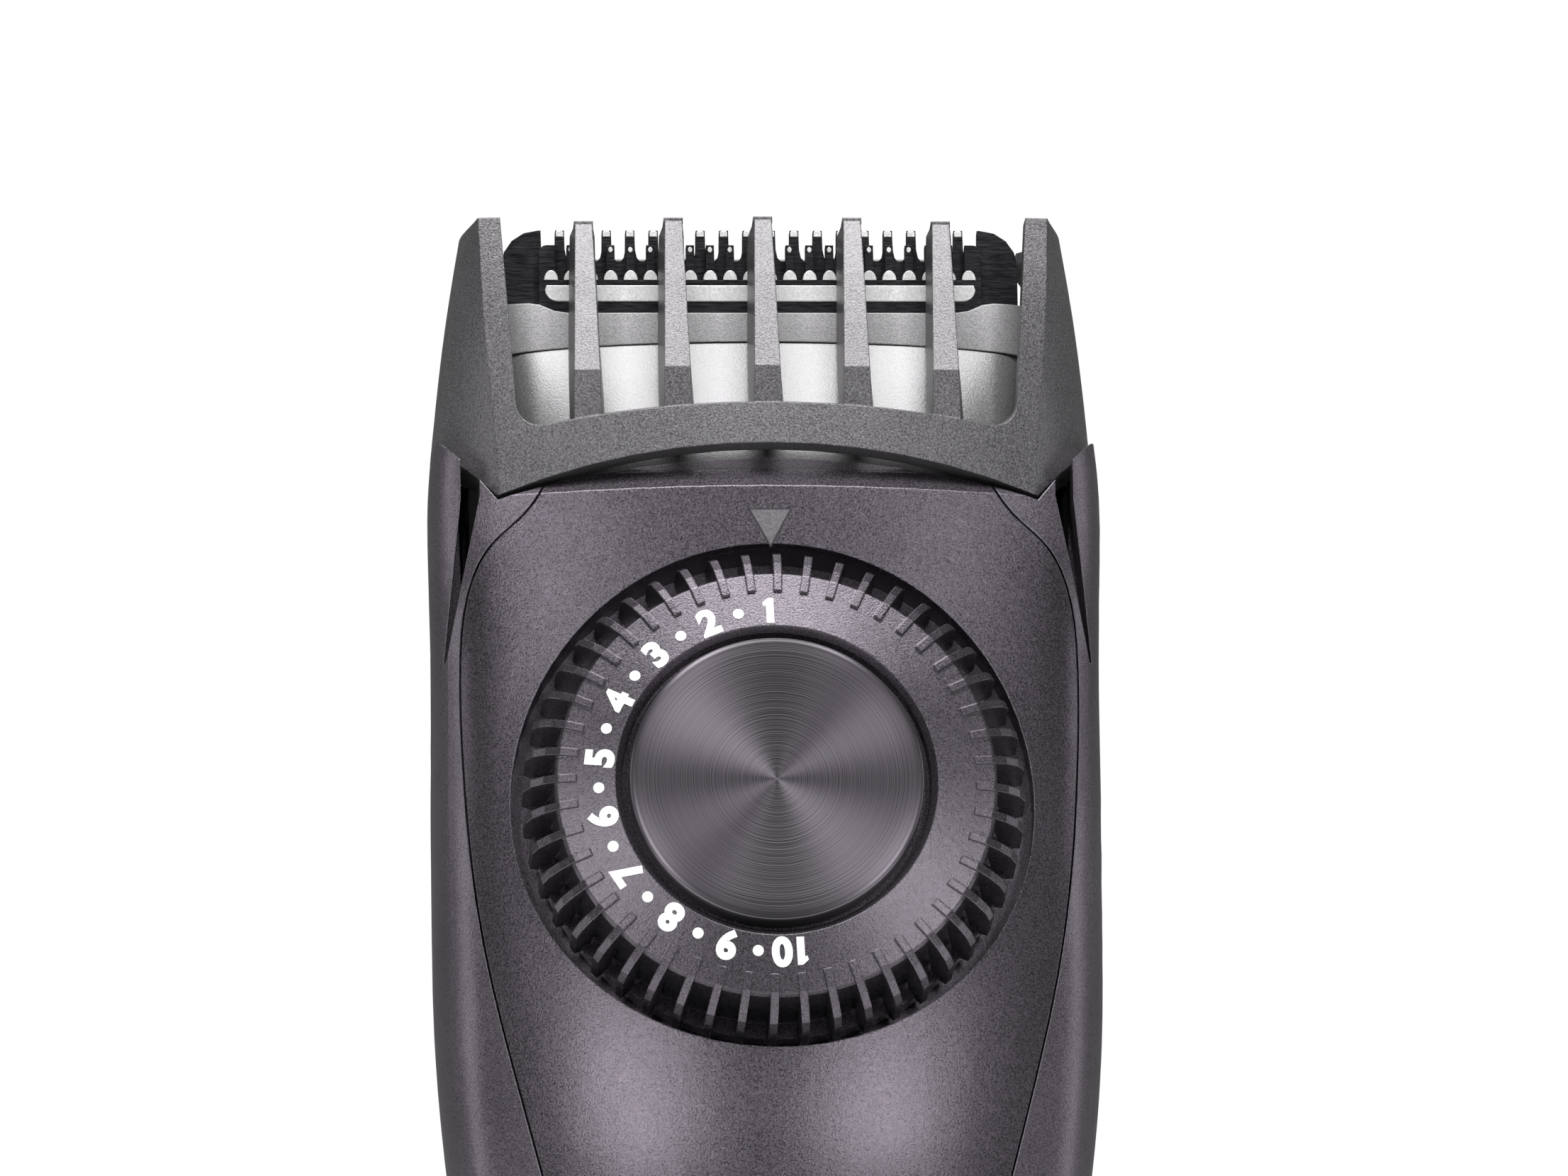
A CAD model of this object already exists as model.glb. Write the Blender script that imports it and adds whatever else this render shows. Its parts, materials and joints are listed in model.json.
import json
import math

import bmesh
import bpy
from mathutils import Matrix, Vector
from mathutils.bvhtree import BVHTree


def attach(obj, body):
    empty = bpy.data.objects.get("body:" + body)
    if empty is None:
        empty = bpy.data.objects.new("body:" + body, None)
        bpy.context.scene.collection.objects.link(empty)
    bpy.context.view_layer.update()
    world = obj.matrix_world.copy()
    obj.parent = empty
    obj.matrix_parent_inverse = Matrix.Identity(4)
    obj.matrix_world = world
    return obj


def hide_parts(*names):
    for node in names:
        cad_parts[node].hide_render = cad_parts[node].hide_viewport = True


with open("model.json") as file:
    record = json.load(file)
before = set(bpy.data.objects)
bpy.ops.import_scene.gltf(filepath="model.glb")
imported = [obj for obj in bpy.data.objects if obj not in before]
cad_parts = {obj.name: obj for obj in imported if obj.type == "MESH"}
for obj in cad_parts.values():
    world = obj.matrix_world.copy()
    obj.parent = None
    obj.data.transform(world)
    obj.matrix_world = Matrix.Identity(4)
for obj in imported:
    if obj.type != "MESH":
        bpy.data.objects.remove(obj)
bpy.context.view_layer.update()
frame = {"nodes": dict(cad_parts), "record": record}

MM = 0.001
JOINTS = {joint["name"]: joint for joint in frame["record"]["behaviour"]["joints"]}
UP = Vector(JOINTS["comb_lift"]["axis"]).normalized()
INWARD = Vector(JOINTS["dial_turn"]["axis"]).normalized()
OUT = -INWARD
ORIGIN = Vector(JOINTS["dial_turn"]["pos_m"])
RIGHT = Vector((1, 0, 0))


def head(x, v, w):
    """A point of the leaning head frame, given in millimetres: across, up the lean, outwards."""
    return ORIGIN + (RIGHT * x + UP * v + OUT * w) * MM


# ---------------------------------------------------------------- material tools


class Shader:
    """A small builder around one material's node tree."""

    def __init__(self, name):
        self.material = bpy.data.materials.new(name)
        self.material.use_nodes = True
        self.tree = self.material.node_tree
        self.tree.nodes.clear()
        self.bsdf = self.node("ShaderNodeBsdfPrincipled")
        output = self.node("ShaderNodeOutputMaterial")
        self.link(self.bsdf.outputs["BSDF"], output.inputs["Surface"])
        self.place = self.node("ShaderNodeTexCoord").outputs["Object"]

    def node(self, kind, **values):
        node = self.tree.nodes.new(kind)
        for key, value in values.items():
            setattr(node, key, value)
        return node

    def link(self, start, end):
        self.tree.links.new(start, end)

    def set(self, **values):
        """Sets the surface's own sockets: underscores stand for spaces."""
        for key, value in values.items():
            self.bsdf.inputs[key.replace("_", " ")].default_value = value
        return self

    def noise(self, scale, detail=3.0, rough=0.55, stretch=(1, 1, 1)):
        mapping = self.node("ShaderNodeMapping")
        mapping.inputs["Scale"].default_value = stretch
        self.link(self.place, mapping.inputs["Vector"])
        noise = self.node("ShaderNodeTexNoise")
        noise.inputs["Scale"].default_value = scale
        noise.inputs["Detail"].default_value = detail
        noise.inputs["Roughness"].default_value = rough
        self.link(mapping.outputs["Vector"], noise.inputs["Vector"])
        return noise.outputs["Fac"]

    def ramp(self, fac, stops):
        ramp = self.node("ShaderNodeValToRGB")
        elements = ramp.color_ramp.elements
        while len(elements) < len(stops):
            elements.new(0.5)
        for element, (place, color) in zip(elements, stops):
            element.position = place
            element.color = (*color, 1)
        self.link(fac, ramp.inputs["Fac"])
        return ramp.outputs["Color"]

    def spread(self, fac, low, high):
        """Maps 0.3..0.7 of a noise to low..high."""
        span = self.node("ShaderNodeMapRange")
        span.inputs["From Min"].default_value = 0.3
        span.inputs["From Max"].default_value = 0.7
        span.inputs["To Min"].default_value = low
        span.inputs["To Max"].default_value = high
        self.link(fac, span.inputs["Value"])
        return span.outputs["Result"]

    def math(self, operation, a, b=0.0):
        node = self.node("ShaderNodeMath", operation=operation)
        for socket, value in zip(node.inputs, (a, b)):
            if isinstance(value, (int, float)):
                socket.default_value = value
            else:
                self.link(value, socket)
        return node.outputs["Value"]

    def color(self, socket):
        self.link(socket, self.bsdf.inputs["Base Color"])
        return self

    def roughness(self, socket):
        self.link(socket, self.bsdf.inputs["Roughness"])
        return self

    def bump(self, height, distance_mm, strength=1.0, soften_mm=0.0):
        bump = self.node("ShaderNodeBump")
        bump.inputs["Strength"].default_value = strength
        bump.inputs["Distance"].default_value = distance_mm * MM
        self.link(height, bump.inputs["Height"])
        if soften_mm:
            bevel = self.node("ShaderNodeBevel", samples=6)
            bevel.inputs["Radius"].default_value = soften_mm * MM
            self.link(bevel.outputs["Normal"], bump.inputs["Normal"])
        self.link(bump.outputs["Normal"], self.bsdf.inputs["Normal"])
        return self


def moulded(name, dark, light, rough, grain_mm, depth_mm, metal=0.0, soften=0.12):
    """Moulded or painted plastic: a fine even grain, slow colour drift and softened edges."""
    s = Shader(name)
    fine = s.noise(1 / (grain_mm * MM), 2.0, 0.6)
    drift = s.noise(60, 3.0)
    both = s.math("ADD", s.math("MULTIPLY", fine, 0.75), s.math("MULTIPLY", drift, 0.25))
    s.color(s.ramp(both, [(0.36, dark), (0.64, light)]))
    s.roughness(s.spread(fine, rough - 0.06, rough + 0.06))
    s.bump(fine, depth_mm, 1.0, soften)
    s.set(Metallic=metal)
    return s.material


def blade_material(name, dark, light, rough, stretch):
    """Ground steel, with fine marks that run one way."""
    s = Shader(name)
    marks = s.noise(900, 4.0, 0.7, stretch)
    s.color(s.ramp(marks, [(0.35, dark), (0.65, light)]))
    s.roughness(s.spread(marks, rough - 0.08, rough + 0.1))
    s.bump(marks, 0.006, 0.7, 0.05)
    s.set(Metallic=1.0)
    return s.material


def build_materials():
    """Every plain material by its short name: dark and light colour, roughness, grain."""
    m = {}
    m["shell"] = moulded("shell_plastic", (0.084, 0.075, 0.088), (0.240, 0.214, 0.248), 0.33,
                         0.10, 0.016, 0.78)
    m["panel"] = moulded("panel_paint", (0.062, 0.055, 0.065), (0.200, 0.178, 0.207), 0.29,
                         0.10, 0.016, 0.88)
    m["grip"] = moulded("grip_rubber", (0.018, 0.017, 0.019), (0.032, 0.031, 0.034), 0.62,
                        0.25, 0.03)
    m["cap"] = moulded("cap_plastic", (0.040, 0.038, 0.043), (0.062, 0.059, 0.066), 0.42,
                       0.2, 0.01)
    m["button"] = moulded("button_plastic", (0.080, 0.075, 0.086), (0.115, 0.108, 0.122), 0.38,
                          0.15, 0.008, 0.4)
    m["dial"] = moulded("dial_paint", (0.062, 0.055, 0.065), (0.150, 0.135, 0.155), 0.29,
                        0.10, 0.014, 0.82)
    m["comb"] = moulded("comb_nylon", (0.052, 0.049, 0.053), (0.190, 0.183, 0.191), 0.37,
                        0.11, 0.020, 0.50)
    m["neck"] = moulded("neck_plastic", (0.140, 0.137, 0.140), (0.245, 0.240, 0.245), 0.34,
                        0.11, 0.014, 0.30)
    m["head"] = moulded("head_plastic", (0.24, 0.235, 0.24), (0.36, 0.35, 0.36), 0.36,
                        0.11, 0.010, 0.25)
    m["acetal"] = moulded("acetal", (0.52, 0.51, 0.48), (0.60, 0.59, 0.56), 0.45, 0.5, 0.005)
    m["black"] = moulded("black_nylon", (0.010, 0.010, 0.011), (0.020, 0.020, 0.022), 0.5,
                         0.3, 0.01)
    m["seal"] = moulded("black_silicone", (0.008, 0.008, 0.008), (0.014, 0.014, 0.014), 0.7,
                        0.3, 0.01)
    m["lens"] = moulded("milky_lens", (0.55, 0.57, 0.60), (0.62, 0.64, 0.67), 0.25, 0.4, 0.002)
    m["board"] = moulded("board_green", (0.010, 0.10, 0.035), (0.018, 0.15, 0.055), 0.35,
                         0.6, 0.01)
    m["cell"] = moulded("cell_wrap", (0.02, 0.06, 0.22), (0.03, 0.08, 0.27), 0.3, 0.8, 0.01)
    m["wire"] = moulded("wire_red", (0.35, 0.01, 0.01), (0.45, 0.02, 0.02), 0.5, 0.4, 0.01)
    m["brass"] = blade_material("contact_brass", (0.55, 0.40, 0.16), (0.75, 0.58, 0.26), 0.3,
                                (1, 1, 8))
    m["steel"] = blade_material("plated_steel", (0.35, 0.35, 0.36), (0.58, 0.58, 0.60), 0.3,
                                (1, 1, 8))
    m["blade"] = blade_material("blade_dark", (0.016, 0.016, 0.018), (0.042, 0.041, 0.045), 0.36,
                                (1, 14, 14))
    m["bright"] = moulded("blade_bevel", (0.70, 0.70, 0.71), (0.88, 0.88, 0.88), 0.34,
                          0.12, 0.003, 0.45, 0.04)
    m["mark"] = moulded("white_ink", (0.84, 0.84, 0.84), (0.94, 0.94, 0.94), 0.5, 0.2, 0.004,
                        soften=0.0)
    m["index"] = moulded("index_fill", (0.150, 0.141, 0.153), (0.230, 0.216, 0.234), 0.34,
                         0.12, 0.008, 0.5, 0.0)
    m["groove"] = moulded("index_groove", (0.020, 0.018, 0.021), (0.034, 0.031, 0.035), 0.5,
                          0.15, 0.004, 0.2, 0.0)
    return m


MATERIALS = build_materials()


def spun_metal():
    """Spun metal, whose fine rings stretch each highlight out along a radius.

    The spinning leaves it darker in four wide cones, above, below and at both sides.
    """
    s = Shader("spun_disc")
    uv = s.node("ShaderNodeUVMap", uv_map="polar")
    split = s.node("ShaderNodeSeparateXYZ")
    s.link(uv.outputs["UV"], split.inputs["Vector"])
    rings = s.node("ShaderNodeTexNoise", noise_dimensions="1D")
    rings.inputs["Scale"].default_value = 160
    rings.inputs["Detail"].default_value = 4
    s.link(split.outputs["Y"], rings.inputs["W"])
    angle = s.math("MULTIPLY", split.outputs["X"], 2 * math.pi)
    shade = rings.outputs["Fac"]
    for wave, power, depth in (("SINE", 3.6, 0.46), ("COSINE", 12.0, 0.20)):
        turn = s.math("ABSOLUTE", s.math(wave, angle))
        cone = s.math("MULTIPLY", s.math("POWER", turn, power), depth)
        shade = s.math("SUBTRACT", shade, cone)
    s.color(s.ramp(shade, [(0.0, (0.034, 0.033, 0.034)), (0.38, (0.180, 0.163, 0.186)),
                           (0.62, (0.262, 0.238, 0.272))]))
    s.roughness(s.spread(rings.outputs["Fac"], 0.32, 0.38))
    tangent = s.node("ShaderNodeTangent", direction_type="UV_MAP", uv_map="polar")
    s.link(tangent.outputs["Tangent"], s.bsdf.inputs["Tangent"])
    s.set(Metallic=1.0, Anisotropic=0.85, Anisotropic_Rotation=0.25)
    return s.material


NODE_MATERIALS = {
    "rear_housing": "shell", "front_housing": "shell", "front_panel": "panel",
    "rear_grip": "grip", "bottom_cap": "cap", "charging_socket": "black",
    "socket_pins": "brass", "dial_ring": "dial", "dial_seal": "seal",
    "dial_cam": "acetal", "dial_screw": "steel", "detent_spring": "steel",
    "comb_carrier": "black", "comb": "comb", "neck_shroud": "neck", "head_housing": "head",
    "fixed_blade": "blade", "moving_blade": "blade", "blade_carrier": "black",
    "blade_driver": "black", "blade_screws": "steel", "motor": "steel",
    "motor_shaft": "steel", "eccentric": "black", "motor_mount": "black",
    "power_button": "button", "button_seal": "seal", "indicator_lens": "lens",
    "circuit_board": "board", "tact_switch": "black", "status_led": "lens",
    "charge_chip": "black", "battery": "cell", "battery_tabs": "brass",
    "battery_tray": "black", "housing_screws": "steel", "motor_leads": "wire",
}


def give(obj, material):
    obj.data.materials.clear()
    obj.data.materials.append(material)


for node_name, material_name in NODE_MATERIALS.items():
    give(frame["nodes"][node_name], MATERIALS[material_name])


# ---------------------------------------------------------------- mesh tools


def add_piece(name, bm, material, body, smooth=False):
    """Makes the mesh a piece of the visual model, which moves with a body."""
    mesh = bpy.data.meshes.new(name)
    bmesh.ops.recalc_face_normals(bm, faces=bm.faces)
    bm.to_mesh(mesh)
    bm.free()
    if smooth:
        mesh.shade_smooth()
    piece = bpy.data.objects.new(name, mesh)
    bpy.context.collection.objects.link(piece)
    piece.data.materials.append(material)
    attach(piece, body)
    return piece


def arc_points(rad_x, rad_y, steps, share=1.0, x=0.0, y=0.0):
    """Points round an ellipse from its right side: a share of 1 is the whole round, 0.5 the top."""
    count = steps if share == 1.0 else steps + 1
    turn = 2 * math.pi * share / steps
    return [(x + rad_x * math.cos(turn * i), y + rad_y * math.sin(turn * i)) for i in range(count)]


def prism(bm, outline, low, high):
    """A closed prism between two lists of points that are matched one to one."""
    bottom = [bm.verts.new(low(*q)) for q in outline]
    top = [bm.verts.new(high(*q)) for q in outline]
    count = len(outline)
    for i in range(count):
        j = (i + 1) % count
        bm.faces.new((bottom[i], bottom[j], top[j], top[i]))
    bm.faces.new(bottom[::-1])
    bm.faces.new(top)


# ---------------------------------------------------------------- dial disc


DISC_RAD = 9.0
DISC_TOP = 4.85
DISC_SEAT = 3.0
DISC_STEPS = 128
DISC_PROFILE = [
    # radius, depth below the top: a shallow dish, a rounded edge
    (0.02, 0.22), (1.5, 0.215), (3.0, 0.19), (4.5, 0.15), (6.0, 0.10), (7.5, 0.045),
    (8.62, 0.005), (8.80, 0.03), (8.93, 0.11), (DISC_RAD, 0.25), (DISC_RAD, DISC_TOP - DISC_SEAT),
]


def make_disc():
    """The spun disc: a fine polar mesh, whose UVs give the spinning direction."""
    bm = bmesh.new()
    uv = bm.loops.layers.uv.new("polar")
    rings = []
    for rad, depth in DISC_PROFILE:
        rings.append([bm.verts.new(head(x, v, DISC_TOP - depth))
                      for x, v in arc_points(rad, rad, DISC_STEPS)])
    for r in range(len(rings) - 1):
        for i in range(DISC_STEPS):
            j = (i + 1) % DISC_STEPS
            face = bm.faces.new((rings[r][i], rings[r + 1][i], rings[r + 1][j], rings[r][j]))
            places = [(i, r), (i, r + 1), (i + 1, r + 1), (i + 1, r)]
            for loop, (a, b) in zip(face.loops, places):
                loop[uv].uv = (a / DISC_STEPS, DISC_PROFILE[b][0] / DISC_RAD)
    for ring in (rings[0][::-1], rings[-1]):
        face = bm.faces.new(ring)
        for loop in face.loops:
            loop[uv].uv = (0.0, 0.0)
    piece = add_piece("spun_disc", bm, spun_metal(), "dial", smooth=True)
    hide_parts("dial_disc")


# ---------------------------------------------------------------- dial marks


MARK_RAD = 10.85
MARK_HIGH = 1.72
RING_TOP, RING_LOW = 4.45, 3.70
RING_IN, RING_OUT = 9.85, 13.35
FACE_SLOPE = math.atan2(RING_TOP - RING_LOW, RING_OUT - RING_IN)
FACE_TOP_AT_MARK = RING_TOP - (MARK_RAD - RING_IN) * math.tan(FACE_SLOPE)
FIRST_MARK_DEG = 91.5
MARK_STEP_DEG = 20.2
MARK_COUNT = 10
INK = 0.035
DOT_RAD, DOT_STEPS = 0.34, 24
FONT_CAP_SHARE = 0.73
FONT_BOLDER = 0.125
ONE_OF_TEN_X, ZERO_OF_TEN_X = -0.72, 0.45


def ring_place(angle_deg, rad=MARK_RAD):
    """The matrix of a mark on the sloping ring face, with its top pointing outwards."""
    angle = math.radians(angle_deg)
    outward = RIGHT * math.cos(angle) + UP * math.sin(angle)
    normal = (OUT * math.cos(FACE_SLOPE) + outward * math.sin(FACE_SLOPE)).normalized()
    top = (outward - normal * outward.dot(normal)).normalized()
    across = top.cross(normal)
    spot = head(rad * math.cos(angle), rad * math.sin(angle), FACE_TOP_AT_MARK)
    turn = Matrix((across, top, normal)).transposed().to_4x4()
    return Matrix.Translation(spot) @ turn


ONE_OUTLINE = [(0.27, -0.5), (0.27, 0.5), (-0.06, 0.5), (-0.42, 0.32), (-0.34, 0.17),
               (-0.20, 0.22), (-0.20, -0.5)]


def one_mesh(shift):
    """A bold numeral one with a flag, shifted sideways by so many millimetres."""
    bm = bmesh.new()
    outline = [(x + shift, y * MARK_HIGH) for x, y in ONE_OUTLINE]
    prism(bm, outline, lambda x, y: Vector((x, y, -INK)) * MM,
          lambda x, y: Vector((x, y, INK)) * MM)
    bmesh.ops.recalc_face_normals(bm, faces=bm.faces)
    mesh = bpy.data.meshes.new("one")
    bm.to_mesh(mesh)
    bm.free()
    return mesh


def numeral_meshes(number):
    """The meshes that make one of the dial's numbers, side by side."""
    if number == 1:
        return [one_mesh(0.0)]
    if number == 10:
        zero = digit_mesh("0")
        zero.transform(Matrix.Translation((ZERO_OF_TEN_X * MM, 0, 0)))
        return [one_mesh(ONE_OF_TEN_X), zero]
    return [digit_mesh(str(number))]


def digit_mesh(text):
    """A numeral of the built-in font, made bolder, with its middle at the origin."""
    curve = bpy.data.curves.new("digit", "FONT")
    curve.body = text
    curve.size = MARK_HIGH / FONT_CAP_SHARE * MM
    curve.offset = FONT_BOLDER * MM
    curve.extrude = INK * MM
    curve.align_x = "CENTER"
    curve.resolution_u = 6
    holder = bpy.data.objects.new("digit", curve)
    mesh = bpy.data.meshes.new_from_object(holder)
    bpy.data.objects.remove(holder)
    bpy.data.curves.remove(curve)
    ys = [vert.co.y for vert in mesh.vertices]
    middle = (min(ys) + max(ys)) / 2
    mesh.transform(Matrix.Translation((0, -middle, 0)))
    return mesh


def make_marks():
    """The numbers on the dial, with a dot between each two."""
    bm = bmesh.new()
    for number in range(1, MARK_COUNT + 1):
        for mesh in numeral_meshes(number):
            mesh.transform(ring_place(FIRST_MARK_DEG + MARK_STEP_DEG * (number - 1)))
            bm.from_mesh(mesh)
            bpy.data.meshes.remove(mesh)
    for gap in range(MARK_COUNT - 1):
        place = ring_place(FIRST_MARK_DEG + MARK_STEP_DEG * (gap + 0.5))
        dot = arc_points(DOT_RAD * MM, DOT_RAD * MM, DOT_STEPS)
        prism(bm, dot, lambda x, y: place @ Vector((x, y, -INK * MM)),
              lambda x, y: place @ Vector((x, y, INK * MM)))
    add_piece("dial_marks", bm, MATERIALS["mark"], "dial")


PANEL_W = 1.45
INDEX_HALF, INDEX_TOP, INDEX_POINT = 1.2, 18.2, 15.95
INDEX_ROOT = 0.15


def index_triangle(grow):
    """The index's corners, with its sides moved out by about the same amount each."""
    half, top, point = INDEX_HALF + grow * 1.4, INDEX_TOP + grow, INDEX_POINT - grow * 1.9
    return [(-half, top), (half, top), (0, point)]


def make_index():
    """The triangle above the dial that points at the set length, in a thin dark groove."""
    for name, grow, proud, material in (("index_groove", 0.10, 0.020, "groove"),
                                        ("index_mark", 0.0, 0.045, "index")):
        bm = bmesh.new()
        prism(bm, index_triangle(grow), lambda x, v: head(x, v, PANEL_W - INDEX_ROOT),
              lambda x, v, top=proud: head(x, v, PANEL_W + top))
        add_piece(name, bm, MATERIALS[material], "handle")


# ---------------------------------------------------------------- blade edges


FIXED_FRONT, FIXED_TIP, FIXED_PITCH, FIXED_GAPS = -6.8, 39.0, 1.454, 19
MOVER_FRONT, MOVER_TIP, MOVER_PITCH, MOVER_GAPS = -6.05, 37.8, 1.233, 21
FACET_HIGH, FACET_ROOT = 0.05, 0.03
TIP_HALF, TIP_HIGH, TIP_CORNER = 0.25, 0.42, 0.08
DOME_HALF, DOME_HIGH, DOME_LOW = 0.45, 0.68, 35.5
SPOT_HALF, SPOT_HIGH, SPOT_DROP = 0.16, 0.2, 0.3
FACET_STEPS = 10
BAR_HALF, BAR_LOW, BAR_HIGH, BAR_CORNER = 13.35, 34.1, 35.2, 0.8
BAR_SHRINK_X, BAR_SHRINK_V = 0.997, 0.9


def raised(bm, outline, front, rise=FACET_HIGH, inset=0.05):
    """A thin plate with sloping edges, on a blade's front face."""
    mid_x = sum(x for x, v in outline) / len(outline)
    mid_v = sum(v for x, v in outline) / len(outline)

    def top(x, v):
        reach = max(inset, math.hypot(x - mid_x, v - mid_v))
        shrink = 1 - inset / reach
        return head(mid_x + (x - mid_x) * shrink, mid_v + (v - mid_v) * shrink, front + rise)

    prism(bm, outline, lambda x, v: head(x, v, front - FACET_ROOT), top)


def tooth_centres(pitch, gaps):
    """Where the teeth between the gaps stand, across the blade."""
    return [pitch * (i - (gaps - 2) / 2) for i in range(gaps - 1)]


def make_fixed_tips():
    """The bright ground tips of the fixed blade's teeth."""
    bm = bmesh.new()
    low, shoulder, end_half = FIXED_TIP - TIP_HIGH, FIXED_TIP - TIP_CORNER, TIP_HALF * 0.6
    for x in tooth_centres(FIXED_PITCH, FIXED_GAPS):
        outline = [(x - TIP_HALF, low), (x + TIP_HALF, low), (x + TIP_HALF, shoulder),
                   (x + end_half, FIXED_TIP), (x - end_half, FIXED_TIP), (x - TIP_HALF, shoulder)]
        raised(bm, outline, FIXED_FRONT, 0.03, 0.04)
    add_piece("fixed_tooth_tips", bm, MATERIALS["bright"], "handle")


def bar_outline():
    """The long bar along the cutter, with rounded lower corners."""
    bend = [math.pi / 2 * k / 6 for k in range(7)]
    right = [(BAR_HALF - BAR_CORNER * (1 - math.sin(a)), BAR_LOW + BAR_CORNER * (1 - math.cos(a)))
             for a in bend] + [(BAR_HALF - 0.1, BAR_HIGH)]
    return right + [(-x, v) for x, v in reversed(right)]


def make_cutter_polish():
    """The cutter's ground facets: a dome under each gap, a dot at each tip and a long bar."""
    bm = bmesh.new()
    for i in range(MOVER_GAPS + 1):
        x = MOVER_PITCH * (i - MOVER_GAPS / 2)
        raised(bm, arc_points(DOME_HALF, DOME_HIGH, FACET_STEPS, 0.5, x, DOME_LOW), MOVER_FRONT)
    for x in tooth_centres(MOVER_PITCH, MOVER_GAPS):
        spot = arc_points(SPOT_HALF, SPOT_HIGH, FACET_STEPS, 1.0, x, MOVER_TIP - SPOT_DROP)
        raised(bm, spot, MOVER_FRONT, 0.03, 0.03)
    middle = (BAR_LOW + BAR_HIGH) / 2
    prism(bm, bar_outline(), lambda x, v: head(x, v, MOVER_FRONT - FACET_ROOT),
          lambda x, v: head(x * BAR_SHRINK_X, middle + (v - middle) * BAR_SHRINK_V,
                            MOVER_FRONT + FACET_HIGH))
    add_piece("cutter_facets", bm, MATERIALS["bright"], "cutter")


# ---------------------------------------------------------------- rear grip ribs


GRIP_LOW, GRIP_HIGH, GRIP_PITCH = 22.0, 104.0, 3.4
GRIP_SPAN, GRIP_STEPS = 11.0, 26
RIB_HALF, RIB_RISE, RIB_ROOT = 0.62, 0.42, 0.02
RIB_SAG = 1 / 45


def grip_surface():
    """The rear grip's outer face as a function of height and place across."""
    grip = frame["nodes"]["rear_grip"]
    tree = BVHTree.FromObject(grip, bpy.context.evaluated_depsgraph_get())
    down = Vector((0, -1, 0))

    def place(x, z):
        hit, normal, _, _ = tree.ray_cast(Vector((x * MM, 0.05, z * MM)), down)
        return hit, normal

    return place


def make_grip_ribs():
    """Low arched ribs moulded across the rubber grip."""
    surface = grip_surface()
    bm = bmesh.new()
    count = int((GRIP_HIGH - GRIP_LOW) / GRIP_PITCH)
    profile = arc_points(1.0, 1.0, 6, 0.5)
    for row in range(count + 1):
        z = GRIP_LOW + row * GRIP_PITCH
        rings = []
        for step in range(GRIP_STEPS + 1):
            x = GRIP_SPAN * (2 * step / GRIP_STEPS - 1)
            spot, normal = surface(x, z - x * x * RIB_SAG)
            end = max(0.0, 1 - (x / GRIP_SPAN) ** 8)
            rise = RIB_RISE * math.sqrt(end) + RIB_ROOT
            ring = [spot + Vector((0, 0, c * RIB_HALF * MM * (0.4 + 0.6 * end)))
                    + normal * (d * rise - RIB_ROOT) * MM for c, d in profile]
            rings.append([bm.verts.new(q) for q in ring])
        for first, second in zip(rings, rings[1:]):
            size = len(first)
            for k in range(size):
                j = (k + 1) % size
                bm.faces.new((first[k], first[j], second[j], second[k]))
        bm.faces.new(rings[0])
        bm.faces.new(rings[-1][::-1])
    add_piece("grip_ribs", bm, MATERIALS["grip"], "handle", smooth=True)


make_fixed_tips()
make_cutter_polish()
make_grip_ribs()
make_disc()
make_marks()
make_index()


# ---------------------------------------------------------------- stage, light and camera


FLOOR_RAD = 0.5


def make_stage():
    """A plain pale floor under the object."""
    floor = Shader("pale_floor")
    floor.color(floor.ramp(floor.noise(3, 2.0),
                           [(0.3, (0.84, 0.84, 0.84)), (0.7, (0.88, 0.88, 0.88))]))
    floor.set(Roughness=0.8)
    bm = bmesh.new()
    bmesh.ops.create_circle(bm, cap_ends=True, radius=FLOOR_RAD, segments=96)
    mesh = bpy.data.meshes.new("floor")
    bm.to_mesh(mesh)
    bm.free()
    disc = bpy.data.objects.new("floor", mesh)
    bpy.context.collection.objects.link(disc)
    mesh.materials.append(floor.material)


def area_light(name, place, aim, width, height, watts):
    """A rectangular softbox, turned towards aim."""
    light = bpy.data.lights.new(name, "AREA")
    light.shape = "RECTANGLE"
    light.size = width
    light.size_y = height
    light.energy = watts
    lamp = bpy.data.objects.new(name, light)
    bpy.context.collection.objects.link(lamp)
    lamp.location = place
    lamp.rotation_euler = (Vector(aim) - Vector(place)).to_track_quat("-Z", "Y").to_euler()


AIM = Vector((0.0008, -0.013, 0.1450))
CAMERA_DISTANCE = 1.20
CAMERA_TURN = math.radians(-2.9)
FRAME_WIDTH = 0.0960
SENSOR = 36.0


def around(azimuth_deg, elevation_deg, distance):
    """A place around the aim point: azimuth 0 is in front, and 90 on the right."""
    a, e = math.radians(azimuth_deg), math.radians(elevation_deg)
    return AIM + Vector((math.sin(a) * math.cos(e), -math.cos(a) * math.cos(e),
                         math.sin(e))) * distance


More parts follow.
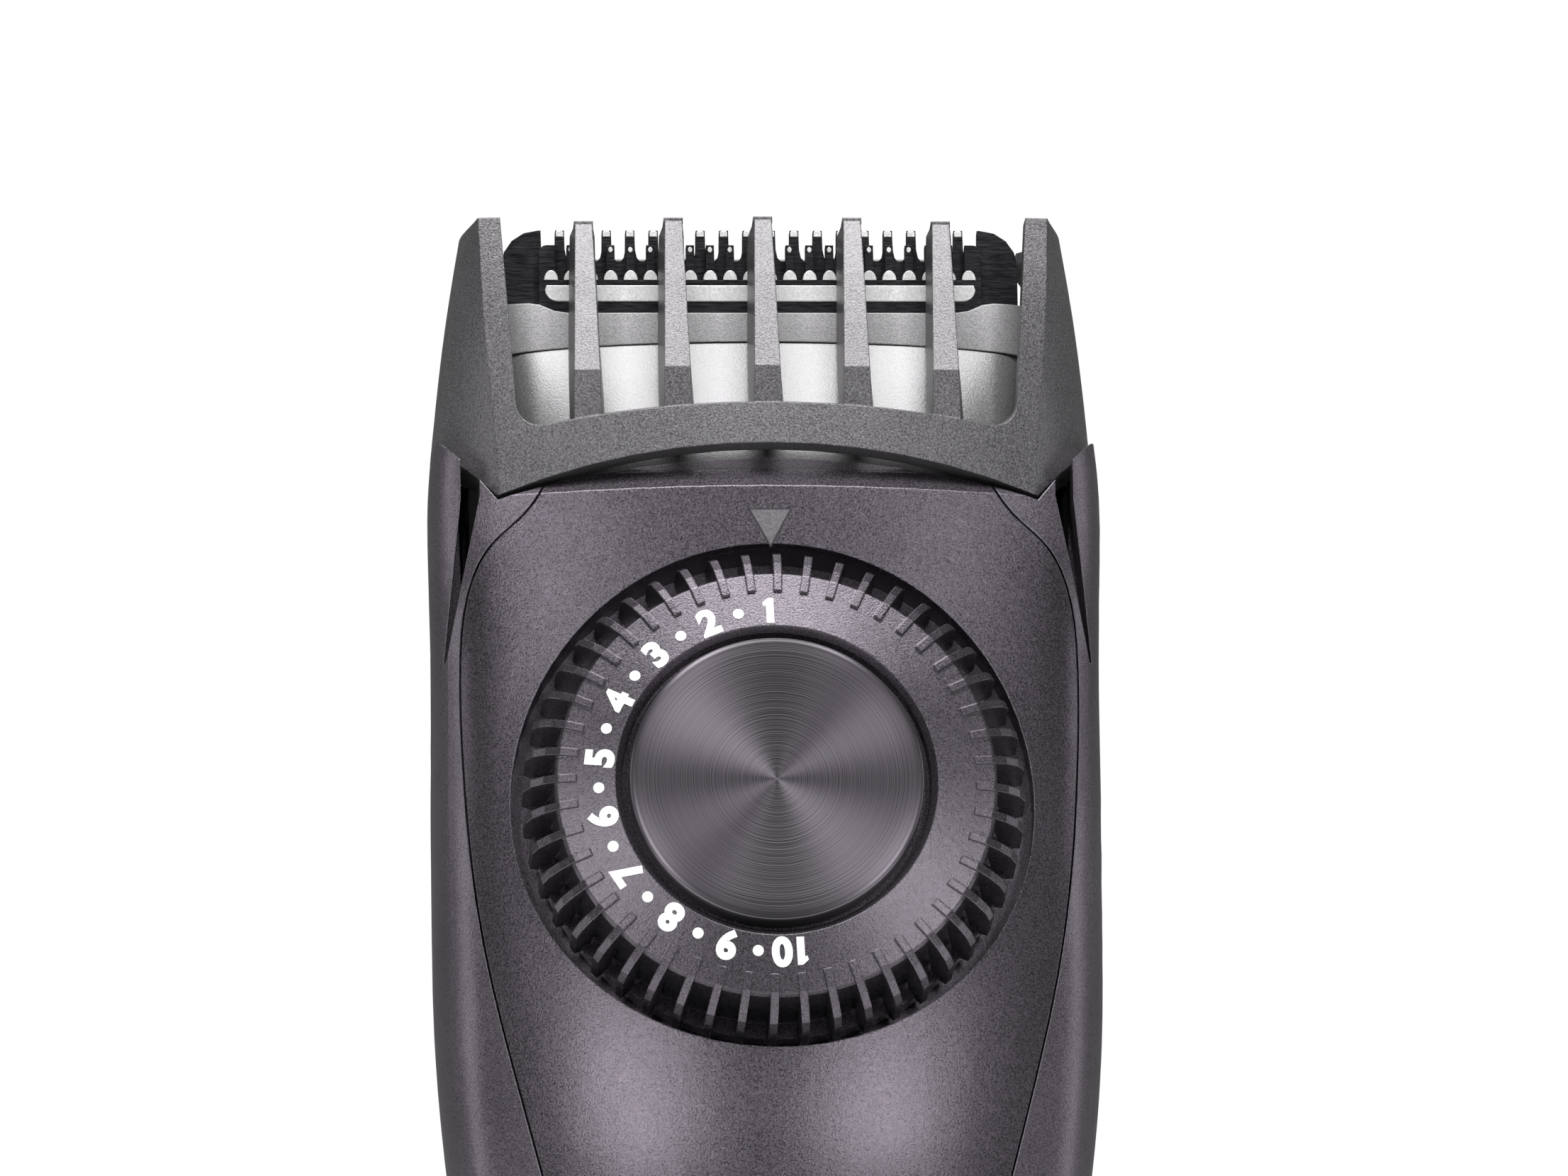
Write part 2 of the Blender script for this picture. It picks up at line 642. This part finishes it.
def make_world():
    """A white studio behind the object, which itself sees a much dimmer one."""
    world = bpy.data.worlds.new("soft_world")
    world.use_nodes = True
    tree = world.node_tree
    tree.nodes.clear()
    seen, felt = [tree.nodes.new("ShaderNodeBackground") for _ in range(2)]
    seen.inputs["Strength"].default_value = 1.0
    felt.inputs["Strength"].default_value = 0.13
    for shade in (seen, felt):
        shade.inputs["Color"].default_value = (1, 1, 1, 1)
    path = tree.nodes.new("ShaderNodeLightPath")
    mix = tree.nodes.new("ShaderNodeMixShader")
    output = tree.nodes.new("ShaderNodeOutputWorld")
    tree.links.new(path.outputs["Is Camera Ray"], mix.inputs["Fac"])
    tree.links.new(felt.outputs["Background"], mix.inputs[1])
    tree.links.new(seen.outputs["Background"], mix.inputs[2])
    tree.links.new(mix.outputs["Shader"], output.inputs["Surface"])
    bpy.context.scene.world = world


LIGHTS = [
    # name, azimuth, elevation, distance, width, height, watts
    ("overhead", -7, 76, 1.2, 0.9, 0.6, 22.0),
    ("left_box", -23, 18, 0.9, 0.10, 0.34, 1.5),
    ("right_box", 22, 18, 0.9, 0.10, 0.34, 1.4),
    ("left_side", -98, 8, 0.9, 0.25, 0.6, 0.85),
    ("right_side", 98, 8, 0.9, 0.25, 0.6, 0.75),
    ("rear_top", 180, 48, 1.2, 0.8, 0.4, 5.0),
]


def make_lights():
    for name, azimuth, elevation, distance, width, height, watts in LIGHTS:
        area_light(name, around(azimuth, elevation, distance), AIM, width, height, watts)


def make_camera():
    """A long lens in front of the head, turned a little to one side."""
    camera = bpy.data.cameras.new("camera")
    camera.sensor_width = SENSOR
    camera.lens = SENSOR * CAMERA_DISTANCE / FRAME_WIDTH
    camera.clip_start = 0.01
    holder = bpy.data.objects.new("camera", camera)
    bpy.context.collection.objects.link(holder)
    direction = Vector((math.sin(CAMERA_TURN), -math.cos(CAMERA_TURN), 0))
    holder.location = AIM + direction * CAMERA_DISTANCE
    holder.rotation_euler = (-direction).to_track_quat("-Z", "Y").to_euler()
    bpy.context.scene.camera = holder


make_stage()
make_world()
make_lights()
make_camera()
bpy.context.scene.view_settings.view_transform = "Standard"
